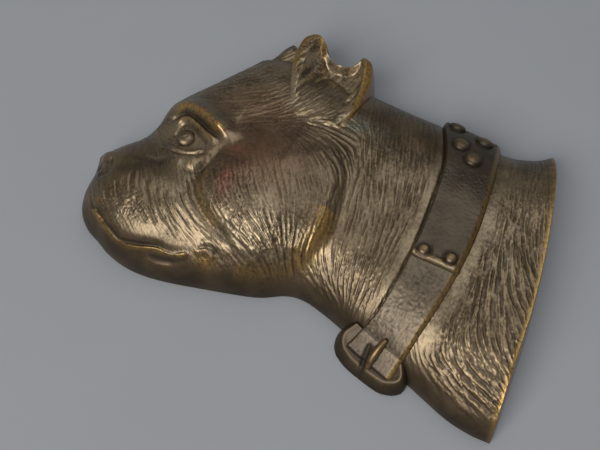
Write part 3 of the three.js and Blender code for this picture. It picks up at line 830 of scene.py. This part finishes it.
# %% The rounded body
LIP, CUT_SLOPE, CUT_ROUND = 0.9, 8.0, 1.0
REACH = ((-60, -20, 20), (17, 26, 32))
CROWN = ((-68, -50, -12, 20, 68), (14.5, 17, 19.5, 18.5, 18))


def inside(line, x, y):
    """True inside a closed line: an odd number of its edges lie to the right (even-odd)."""
    odd = np.zeros(x.shape, bool)
    for (ax, ay), (bx, by) in zip(line, np.roll(line, -1, 0)):
        if ay != by:
            crosses = (ay > y) != (by > y)
            odd ^= crosses & (x < (bx - ax) * (y - ay) / (by - ay) + ax)
    return odd


def body(x, y, with_forms=True):
    """Height above the back and the depth t in from the rounded edge, from 0 to 1: a quarter
    ellipse, plus the canvas's forms, and a smooth lesser of that and the sloping cut face."""
    within = np.where(inside(outline, x, y), 1.0, 0.0)
    t = within * nearest(rounded_edge, x, y)[0] / np.interp(x, *REACH)
    t = np.clip(t, 0, 1)
    z = LIP + np.interp(x, *CROWN) * quarter_round(t)
    if with_forms:
        z = z + read(forms, x, y) * np.minimum(1, 4 * t)
    cut = LIP + CUT_SLOPE * nearest(CUT_EDGE, x, y)[0] * within
    blend = np.clip(0.5 + 0.5 * (cut - z) / CUT_ROUND, 0, 1)
    return cut + (z - cut) * blend - CUT_ROUND * blend * (1 - blend), t


# %% A patch between four lines
def at(line, fractions):
    """Points at given fractions of an evenly spaced line."""
    steps = np.linspace(0, 1, len(line))
    return np.column_stack([np.interp(fractions, steps, column) for column in line.T])


def coons(left, right, bottom, top, us, vs):
    """Coons patch: the blend of left and right, plus the blend of bottom and top, less the
    blend of the four corners. Sides run up and to the right."""
    u, v = us[:, None, None], vs[None, :, None]
    across = (1 - u) * at(left, vs)[None] + u * at(right, vs)[None]
    up = (1 - v) * at(bottom, us)[:, None] + v * at(top, us)[:, None]
    low = (1 - u) * bottom[0] + u * bottom[-1]
    high = (1 - u) * top[0] + u * top[-1]
    return across + up - ((1 - v) * low + v * high)


def eased(count, amount):
    """Steps from 0 to 1 drawn closer together towards both ends by the given amount."""
    s = np.linspace(0, 1, count)
    return (1 - amount) * s + amount * (0.5 - 0.5 * np.cos(math.pi * s))


def normals_of(points):
    """Unit normals of a grid: the cross product of its two directions of travel."""
    normal = np.cross(np.gradient(points, axis=0), np.gradient(points, axis=1))
    return normal / (np.linalg.norm(normal, axis=2, keepdims=True) + 1e-12)


# %% Head and shoulder, meeting under the collar
MEET = 34.0


def split_at(line, x):
    """The two parts of a line that runs from left to right, before and after a given x."""
    y = np.interp(x, line[:, 0], line[:, 1])
    return np.vstack([line[line[:, 0] < x], (x, y)]), np.vstack([(x, y), line[line[:, 0] > x]])


def casting(names, left, right, bottom, top, columns, rows):
    """Part of the casting: patch, body height, then the coat along the normals. It is cut into
    as many pieces as there are names, which share the columns and normals where they meet."""
    plan = coons(left, right, bottom, top, eased(columns, 0.4), eased(rows, 0.6))
    x, y = plan[..., 0], plan[..., 1]
    z, t = body(x, y)
    points = np.dstack([x, y, z])
    past_cut = nearest(CUT_EDGE, x, y)[0] - (z - LIP) / CUT_SLOPE
    fade = ease(5 * t) * ease((past_cut - 0.2) / 1.4)
    points = points + normals_of(points) * (read(pelt, x, y) * fade)[..., None]
    points[..., 2] = np.maximum(points[..., 2], 0.2)
    normals = normals_of(points)
    wall = 1 - ease(past_cut / 0.5)
    crisp = hump((past_cut - 0.3) / 0.85)
    # Painted shade: the darkening mask rises near the outline, where the sides come down to the
    # desk, and over the cut face, most towards its bottom; the film thins towards the outline and
    # is taken off the cut face.
    masks = {
        "rubbed": np.clip(read(rubbed_map, x, y) * fade + 0.8 * crisp + 0.85 * wall, 0, 1),
        "wax_and_shade": np.clip(read(wax_and_shade_map, x, y) * fade + 0.5 * ease(1 - 6 * t)
                          + wall * (1 - crisp) * (0.34 + 0.4 * ease(1 - z / 9)), 0, 1),
        "film_and_sheen": np.clip(read(film_and_sheen_map, x, y) * ease(3 * t), 0, 1.6)
        * (1 - np.clip(crisp + wall, 0, 1)),
        "red": np.clip(read(red_map, x, y), 0, 1),
        "green": read(green_map, x, y),
    }
    cuts = np.linspace(0, columns - 1, len(names) + 1).astype(int)
    for name, first, last in zip(names, cuts[:-1], cuts[1:] + 1):
        part = {mask: values[first:last] for mask, values in masks.items()}
        finished(name, points[first:last], ["head_casting"], patina, part,
                 normals=normals[first:last])


SIDE_STEPS = 160
throat_head, throat_shoulder = (curve(part, SIDE_STEPS) for part in split_at(THROAT, MEET))
nape_head, nape_shoulder = (curve(part, SIDE_STEPS) for part in split_at(BROW_TO_NAPE, MEET))
seam = np.linspace(throat_head[-1], nape_head[-1], 80)
casting(["dog_face", "dog_neck"], CHIN_TO_NOSE, seam, throat_head, nape_head,
        columns=641, rows=300)
casting(["dog_shoulder"], seam, CUT_EDGE, throat_shoulder, nape_shoulder,
        columns=220, rows=400)

# %% [markdown]
# ## Ears
# The near ear is a cup standing on the side of the skull: two rims with a hollow between
# them that opens towards the tip. It is drawn on its own patch, from the front rim to the
# rear one. At its foot it takes the height of the head, so the two flow into each other.

# %% The near ear
EAR_FRONT = curve([(-21.6, 19), (-24.8, 26), (-27.6, 35.2), (-28.3, 42), (-27.7, 45.6),
                   (-25.4, 48.5)])
EAR_REAR = curve([(-0.2, 18.5), (0.8, 25), (0.6, 33), (-0.4, 39), (-2.4, 44), (-5.4, 46)])
EAR_FOOT = curve([(-21.6, 19), (-16.6, 14.5), (-11.3, 12.5), (-6.6, 12.8), (-2.5, 15.3),
                  (-0.2, 18.5)])
EAR_TOP = curve([(-25.4, 48.5), (-22.0, 48.4), (-18.9, 46.2), (-16.5, 42.8), (-13.0, 40.6),
                 (-9.6, 42.2), (-7.6, 45), (-5.4, 46)])
u, v = eased(170, 0.35), eased(190, 0.35)
plan = coons(EAR_FRONT, EAR_REAR, EAR_FOOT, EAR_TOP, u, v)
x, y = plan[..., 0], plan[..., 1]
u, v = u[:, None], v[None, :]
FOOT_CREST, TIP_FALL, REAR_LIFT = 21.4, 5.0, 0.8
crest = FOOT_CREST - TIP_FALL * v + REAR_LIFT * u
across = np.clip((u - 0.18) / 0.68, 0, 1)
DEEPEST = 0.7
dip = np.where(across < DEEPEST, np.sin(across / DEEPEST * math.pi / 2) ** 0.7,
               np.cos((across - DEEPEST) / (1 - DEEPEST) * math.pi / 2) ** 0.55)
cup = (1.2 + 3.8 * ease(v / 0.8)) * dip * ease(v / 0.3)
folds = 0.45 * ease(v / 0.3) * np.sin(2 * math.pi * (2.4 * across + 0.8 * v)) * ease(across * 4)
ear_edge = np.vstack([EAR_FRONT, EAR_TOP[1:], EAR_REAR[::-1][1:]])
gap_in, _, _ = nearest(ear_edge, x, y)
front_in, _, _ = nearest(EAR_FRONT, x, y)
rear_in, _, _ = nearest(EAR_REAR, x, y)
cup = cup * (0.25 + 0.75 * ease((gap_in - 1.2) / 2.2))
roll = quarter_round(gap_in / 1.8)
roll = roll * (0.76 + 0.24 * quarter_round(front_in / 3.2))
roll = roll * (0.70 + 0.30 * quarter_round(rear_in / 4.2))
ground, _ = body(x, y)
joined = ease(v / (0.42 - 0.24 * u))
ear_z = np.maximum((crest - cup + folds) * roll, 1.5)
points = np.dstack([x, y, ground * (1 - joined) + ear_z * joined - 0.06 * (1 - joined)])
tufts = blurred(0.36 * locks + 0.14 * strokes, 0.22)
ear_coat = (1 - 0.65 * ease((v - 0.45) / 0.3)) * read(tufts, x, y)
ear_coat = ear_coat * ease((gap_in - 2.2) / 2) * (1 - 0.85 * ease((u - 0.8) / 0.08))
points = points + normals_of(points) * ear_coat[..., None]
rim = 0.8 * hump((gap_in - 2.0) / 1.5) * ease((v - 0.25) / 0.25) * ease((0.42 - u) / 0.1)
rim = rim + ease((u - 0.84) / 0.04) * ease(v / 0.1)
# The ear takes a thick film, more on the tufts' crests: bloom, and also painted sheen and
# highlights.
finished("near_ear_cup", points, ["near_ear"], patina, {
    "rubbed": np.clip(rim + 0.4 * ease(ear_coat / 0.3), 0, 1),
    "wax_and_shade": np.clip(0.1 * ease(cup / 6) + 0.6 * ease(-ear_coat / 0.2), 0, 0.9),
    "film_and_sheen": (1 - 0.9 * rim.clip(0, 1)) * (1.5 + 0.6 * ease(ear_coat / 0.2)),
})

# %% The far ear, a low rounded sliver behind
FAR_OUTSIDE = curve([(-39, 35.4), (-36.4, 40.4), (-35, 44.4), (-32.9, 47.6), (-30.4, 48.3)])
FAR_INSIDE = curve([(-31, 33), (-29.6, 36), (-28, 40), (-27.2, 44), (-28.4, 47)])
far_foot = np.linspace(FAR_OUTSIDE[0], FAR_INSIDE[0], 20)
far_tip = np.linspace(FAR_OUTSIDE[-1], FAR_INSIDE[-1], 20)
u, v = eased(50, 0.5), eased(80, 0.5)
plan = coons(FAR_OUTSIDE, FAR_INSIDE, far_foot, far_tip, u, v)
x, y = plan[..., 0], plan[..., 1]
FAR_CREST = 10.2
far_edge = np.vstack([FAR_OUTSIDE, far_tip[1:]])
gap_in, _, _ = nearest(far_edge, x, y)
far_z = FAR_CREST * quarter_round(gap_in / 5) + read(strokes, x, y) * 0.1
finished("far_ear_tip", np.dstack([x, y, np.maximum(far_z, 1.2)]), ["far_ear"],
         patina, {"rubbed": hump(gap_in / 1.2), "film_and_sheen": 0.4})

# %% [markdown]
# ## The eye
# A small dome set in its socket, with the iris cut as a shallow ring and a pit for the pupil,
# so that it catches a point of light as a real eye does.

# %% Eyeball
eye_low, eye_high = (np.array(corner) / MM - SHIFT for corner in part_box("eyeball"))
eye_centre = (eye_low + eye_high) / 2
EYE_RADIUS, EYE_SEAT, EYE_SUNK, EYE_FLATTENED, IRIS_RADIUS = 2.75, 17.6, 1.35, 0.55, 1.55
around = np.linspace(0, 2 * math.pi, 72, endpoint=False)
out = np.linspace(1, 0.004, 40)
r, a = EYE_RADIUS * out[:, None], around[None, :]
x, y = eye_centre[0] + r * np.cos(a), eye_centre[1] + r * np.sin(a)
iris = np.hypot(x - eye_centre[0] + 1.0, y - eye_centre[1] - 0.6)
iris_ring = hump((iris - IRIS_RADIUS) / 0.3)
z = EYE_SEAT - EYE_SUNK + np.sqrt(np.maximum(EYE_RADIUS**2 - r**2, 0)) * EYE_FLATTENED
z = z - 0.10 * iris_ring - 0.2 * hump(iris / 0.5)
# Painted shade: the dome darkens over its outer third, where it sinks under the lids.
finished("eyeball_dome", np.dstack([x, y, z])[:, ::-1], ["eyeball"], patina, {
    "wax_and_shade": 0.25 * iris_ring + 0.3 * ease(r / EYE_RADIUS * 3 - 2),
    "film_and_sheen": 0.45,
}, tube=True)

# %% [markdown]
# ## The collar
# The strap hugs the neck, so it is the neck's own surface pushed out along its normals: a
# profile across the strap, carried along it. The profile is steep in front and has a broad
# rubbed bevel behind. The upper strap laps over the lower one with a rolled end.

# %% The neck under the strap
STRAP, STRAP_END = 1.6, 0.9
LAP_FRONT, LAP_REAR = 0.69, 0.655
OVER_RAMP = 3.5
LINE_STEPS = 500
GATHERED = 1.6
SHADOW_SLIT = curve([(29.3, -45.4), (29.2, -42), (29.3, -38.6)])
SHADOW_SLIT_WIDTH, SHADOW_SLIT_DEPTH = 0.75, 0.6
RAMP_FOOT, RAMP_SLOPE, RAMP_REACH = 4.1, 0.62, 4.5
RAMP_TOP, RAMP_FALL = 1.6, 2.2


def in_shadow_slit(x, y):
    """1 along the slit by the prong, falling away to each side. The slit is cut in and darkened
    as a painted shadow of the prong.
    """
    return hump(nearest(SHADOW_SLIT, x, y)[0] / SHADOW_SLIT_WIDTH)


def buckle_ramp(x, y):
    """Height of the ramp under the strap's end: it rises evenly from its outer edge, across
    the throat, and falls away steeply inside the neck."""
    beyond = nearest(THROAT, x, y)[0] * np.where(inside(outline, x, y), 1, -1)
    rising = RAMP_FOOT + RAMP_SLOPE * (beyond + RAMP_REACH)
    return rising - RAMP_FALL * np.maximum(beyond - RAMP_TOP, 0)


def neck_under(laterals, rows, start, stop):
    """Points on the neck and their normals. Each column is a line between the collar's two
    edges. Rows run from the nape to the throat; `start` and `stop` are shares of the line past
    the lap, or None for an end that runs over the nape or the buckle, with rows gathered there
    and a last one dropped to the desk. Neck and ramp meet as the smooth greater of the two."""
    columns = []
    for s in laterals:
        line = curve((1 - s) * COLLAR_FRONT + s * COLLAR_REAR, LINE_STEPS)
        shares = np.linspace(0, 1, LINE_STEPS)
        depth_in = nearest(outline, line[:, 0], line[:, 1])[0]
        depth_in = np.where(inside(outline, line[:, 0], line[:, 1]), depth_in, -depth_in)
        half = len(line) // 2
        first = np.interp(0, depth_in[:half], shares[:half])
        last = np.interp(OVER_RAMP, -depth_in[half:], shares[half:])
        lap = LAP_FRONT + s * (LAP_REAR - LAP_FRONT)
        begin = first if start is None else lap + start
        end = last if stop is None else lap + stop
        steps = np.linspace(0, 1, rows)
        if start is None:
            steps = steps**GATHERED
        if stop is None:
            steps = 1 - (1 - steps) ** GATHERED
        columns.append(at(line, begin + (end - begin) * steps))
    plan = np.array(columns).transpose(1, 0, 2)
    z, _ = body(plan[..., 0], plan[..., 1], with_forms=False)
    apart = z - buckle_ramp(plan[..., 0], plan[..., 1])
    z = z - apart / 2 + np.sqrt(apart**2 + 1.2 * ease(1 - np.abs(apart) / 8)) / 2
    points = np.dstack([plan, z])
    foot = points[:1] * (1, 1, 0), points[-1:] * (1, 1, 0)
    if start is None:
        points = np.vstack([foot[0], points])
    if stop is None:
        points = np.vstack([points, foot[1]])
    return points, normals_of(points)


def strap_laterals(count):
    """Places across the strap, close together at its two edges."""
    return np.unique(np.r_[0, 0.004, 0.012, 0.025, 0.045, np.linspace(0.06, 0.88, count),
                           0.90, 0.92, 0.94, 0.96, 0.98, 0.99, 1])


def strap_rise(laterals, thickness):
    """Profile across: steep rounded front edge, flat face, bevel over the rear tenth."""
    front = quarter_round(laterals / 0.035)
    rear = np.clip((1 - laterals) / 0.105, 0, 1)
    rear = 0.15 + 0.85 * (rear * (1.25 - 0.25 * rear)) ** 0.9
    return thickness * np.minimum(front, rear) - 0.25 * (laterals >= 1) - 0.25 * (laterals <= 0)


# %% Upper and lower strap
def strap(name, node, thickness, rows, start, stop, pits, bloom):
    """A closed band: its face at the profile's rise over the neck, its back sunk below.
    `pits` is the depth of its pebbling and `bloom` the strength of its grey film."""
    laterals = strap_laterals(56)
    neck, normal = neck_under(laterals, rows, start, stop)
    rise = np.broadcast_to(strap_rise(laterals, thickness), neck.shape[:2]).copy()
    x, y = neck[..., 0], neck[..., 1]
    rise += pits * read(stipple, x, y) * (rise > 0.5 * thickness)
    end_in = np.linalg.norm(neck - neck[-1:], axis=2)
    if start is None:
        nape_in = np.linalg.norm(neck - neck[:1], axis=2)
        rise = rise + 0.6 * (1 - ease((nape_in - 6) / 10)) * ease(rise / thickness)
    lap_roll, shadow_slit, dull = 0, 0, 1
    if stop is None:
        # Painted shade: the strap's end over the buckle faces the light, so it loses its film and
        # darkens a little.
        dull = ease((end_in - 1) / 12)
        # The slit beside the prong is cut in and darkened: a painted shadow of the prong.
        shadow_slit = in_shadow_slit(x, y)
        rise -= SHADOW_SLIT_DEPTH * shadow_slit
    if stop is not None:
        lap_roll = hump(end_in - 1.5)
        rise = rise * (0.25 + 0.75 * quarter_round(end_in / 1.5))
        rise += 0.6 * lap_roll
    # Painted shade: a shallow ring is pressed round each stud and rivet and darkened.
    moat_and_shade = np.zeros_like(x)
    for seat_x, seat_y, radius in seats:
        ring = np.hypot(x - seat_x, y - seat_y) - radius
        moat_and_shade = np.maximum(moat_and_shade, hump(ring / 0.55))
    rise -= 0.28 * moat_and_shade * (rise > 0.5 * thickness)
    face = neck + normal * rise[..., None]
    back = (neck - 0.4 * normal)[:, ::-1]
    bevel = np.broadcast_to(ease((laterals - 0.885) / 0.03), x.shape)
    # Painted shade along both edges, where the strap meets the neck.
    masks = {
        "rubbed": np.clip(0.75 * bevel + 0.35 * lap_roll + 0.25 * (laterals < 0.02), 0, 1),
        "wax_and_shade": np.clip(0.2 * (1 - dull) + 0.9 * shadow_slit + 0.8 * moat_and_shade
                          + 0.8 * (laterals <= 0.004) + 0.7 * (laterals > 0.985), 0, 1),
        # Painted highlight: the lap's rolled end takes a light film.
        "film_and_sheen": np.clip(bloom * dull * (1 - bevel) + 0.5 * lap_roll, 0, 1),
    }
    ring = np.hstack([face, back])
    masks = {k: np.hstack([m, np.zeros_like(m)]) for k, m in masks.items()}
    finished(name, ring, [node], strap_bronze, masks, tube=True,
             flat_back=False)


STUDS = [f"nape_stud_{i}" for i in (1, 2, 3, 4)]
RIVETS = [f"lap_rivet_{i}" for i in (1, 2)]
STUD_RADIUS, STUD_RISE = 2.6, 1.25
RIVET_RADIUS, RIVET_RISE = 1.8, 1.15
seats = []
for node in STUDS + RIVETS:
    low, high = (np.array(corner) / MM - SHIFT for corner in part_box(node))
    middle = (low + high) / 2
    seats.append((middle[0], middle[1], STUD_RADIUS if node in STUDS else RIVET_RADIUS))
print("seats at", [(round(x, 1), round(y, 1)) for x, y, _ in seats])
strap("collar_upper", "collar_strap", STRAP, rows=330, start=None, stop=0.0, pits=0.028,
      bloom=0.06)
strap("collar_lower_end", "collar_strap_end", STRAP_END, rows=150, start=-0.01, stop=None,
      pits=0.02, bloom=0.5)

# %% [markdown]
# ## Studs and rivets
# Four domed studs at the nape and two rivets beside the lap. Each is a low dome turned on
# its own axis and stood square to the strap, whose face was already hollowed round it.


# %% Domes on the strap
ROUNDS, SPOKES = 26, 56


def neck_at(x, y, out):
    """A point `out` above the neck at a place, and the neck's normal there, from the heights
    of two neighbours one cell away."""
    px, py = np.array([[x, x + CELL, x]]), np.array([[y, y, y + CELL]])
    z = body(px, py, with_forms=False)[0][0]
    normal = np.array([(z[0] - z[1]) / CELL, (z[0] - z[2]) / CELL, 1.0])
    normal /= np.linalg.norm(normal)
    return np.array([x, y, z[0]]) + out * normal, normal


def domed(name, node, seat, rise):
    """A surface of revolution: an ellipse quadrant with a thin flange, round the normal."""
    x, y, radius = seat
    nape_y = np.interp(x, BROW_TO_NAPE[:, 0], BROW_TO_NAPE[:, 1])
    lifted = 0.6 * (1 - ease((nape_y - y - 2) / 8)) if node in STUDS else 0
    centre, normal = neck_at(x, y, STRAP - 0.2 + lifted)
    side = np.cross(normal, (0, 1, 0))
    side /= np.linalg.norm(side)
    other = np.cross(normal, side)
    angle = np.linspace(0, math.pi / 2 - 0.02, ROUNDS)
    reach = np.r_[radius * 0.98, radius * np.cos(angle) ** 0.9]
    height = np.r_[-0.6, rise * np.sin(angle)]
    a = np.linspace(0, 2 * math.pi, SPOKES, endpoint=False)
    ring = np.cos(a)[:, None] * side - np.sin(a)[:, None] * other
    points = centre + reach[:, None, None] * ring[None] + height[:, None, None] * normal
    top = ease((height - 0.5 * rise) / (0.5 * rise))[:, None] * np.ones(SPOKES)
    # Painted shade: the dome darkens towards its foot on the strap.
    foot = ease(1 - height / (0.4 * rise))[:, None] * np.ones(SPOKES)
    finished(name, points, [node], strap_bronze,
             {"rubbed": 0.45 * top, "wax_and_shade": 0.7 * foot, "film_and_sheen": 0.4 * top}, tube=True,
             flat_back=False)


for i, (node, seat) in enumerate(zip(STUDS + RIVETS, seats)):
    kind, rise = ("stud", STUD_RISE) if node in STUDS else ("rivet", RIVET_RISE)
    domed(f"{kind}_cap_{i + 1}", node, seat, rise)

# %% [markdown]
# ## The buckle
# The strap's end runs off the throat and over the buckle, and the casting is solid
# underneath. So the buckle is a small relief of its own: a ramp from the strap down to the
# desk, with the frame standing as a rounded rim round its outer side.

# %% The buckle's ramp and rim
BUCKLE_LEFT = curve([(21.2, -42.4), (19.6, -39.8), (19.6, -36.3), (23.2, -31.8)])
BUCKLE_FOOT = curve([(21.2, -42.4), (24.9, -44.6), (30.4, -46.4), (35.8, -47.6), (39.6, -46.9)])
BUCKLE_RIGHT = curve([(39.6, -46.9), (41.7, -45.2), (42.1, -42.2), (40, -38)])
BUCKLE_TOP = curve([(23.2, -31.8), (28, -33), (34, -35.6), (40, -38)])
plan = coons(BUCKLE_LEFT, BUCKLE_RIGHT, BUCKLE_FOOT, BUCKLE_TOP, eased(150, 0.5), eased(110, 0.5))
x, y = plan[..., 0], plan[..., 1]
buckle_edge = np.vstack([BUCKLE_LEFT[::-1], BUCKLE_FOOT[1:], BUCKLE_RIGHT[1:]])
edge_in = nearest(buckle_edge, x, y)[0]
rim = hump((edge_in - 1.9) / 1.4)
# The slit beside the prong is cut in and darkened: a painted shadow of the prong.
shadow_slit = in_shadow_slit(x, y)
z = (buckle_ramp(x, y) + 0.6 * rim - 0.1) * quarter_round(edge_in / 2.4) - SHADOW_SLIT_DEPTH * shadow_slit
buckle_points = np.dstack([x, y, np.maximum(z, 0.3)])
# Painted shade: the buckle darkens within about a millimetre of its outer edge, where it drops to
# the desk.
finished("buckle_rim", buckle_points, ["buckle_frame"], strap_bronze, {
    "rubbed": 0.12 * rim,
    "wax_and_shade": np.clip(0.8 * shadow_slit + 0.15 + 0.5 * ease(1 - edge_in / 1.2), 0, 1),
})


# %% The prong
def tube_along(name, node, path, radii, masks, sides=28):
    """A tube: a circle of the radius given along the path, square to the path's direction."""
    line = curve(path, len(radii))
    heading = np.gradient(line, axis=0)
    heading /= np.linalg.norm(heading, axis=1, keepdims=True)
    across = np.cross(heading, (0, 0, 1.0))
    across /= np.linalg.norm(across, axis=1, keepdims=True)
    up = np.cross(across, heading)
    a = np.linspace(0, 2 * math.pi, sides, endpoint=False)[None, :, None]
    section = np.cos(a) * across[:, None] + np.sin(a) * up[:, None]
    points = line[:, None] + np.asarray(radii)[:, None, None] * section
    finished(name, points, [node], strap_bronze, masks, tube=True,
             flat_back=False)


PRONG = [(30.9, -43.8, 5.0), (31.2, -41.6, 7.1), (31.9, -39, 8.8), (33, -36.4, 10.3)]
swelling = 0.55 + 0.65 * np.sin(np.linspace(0.35, 2.9, 60)) ** 1.2
tube_along("buckle_pin", "buckle_prong", PRONG, swelling, {"rubbed": 0.5, "film_and_sheen": 0.2})
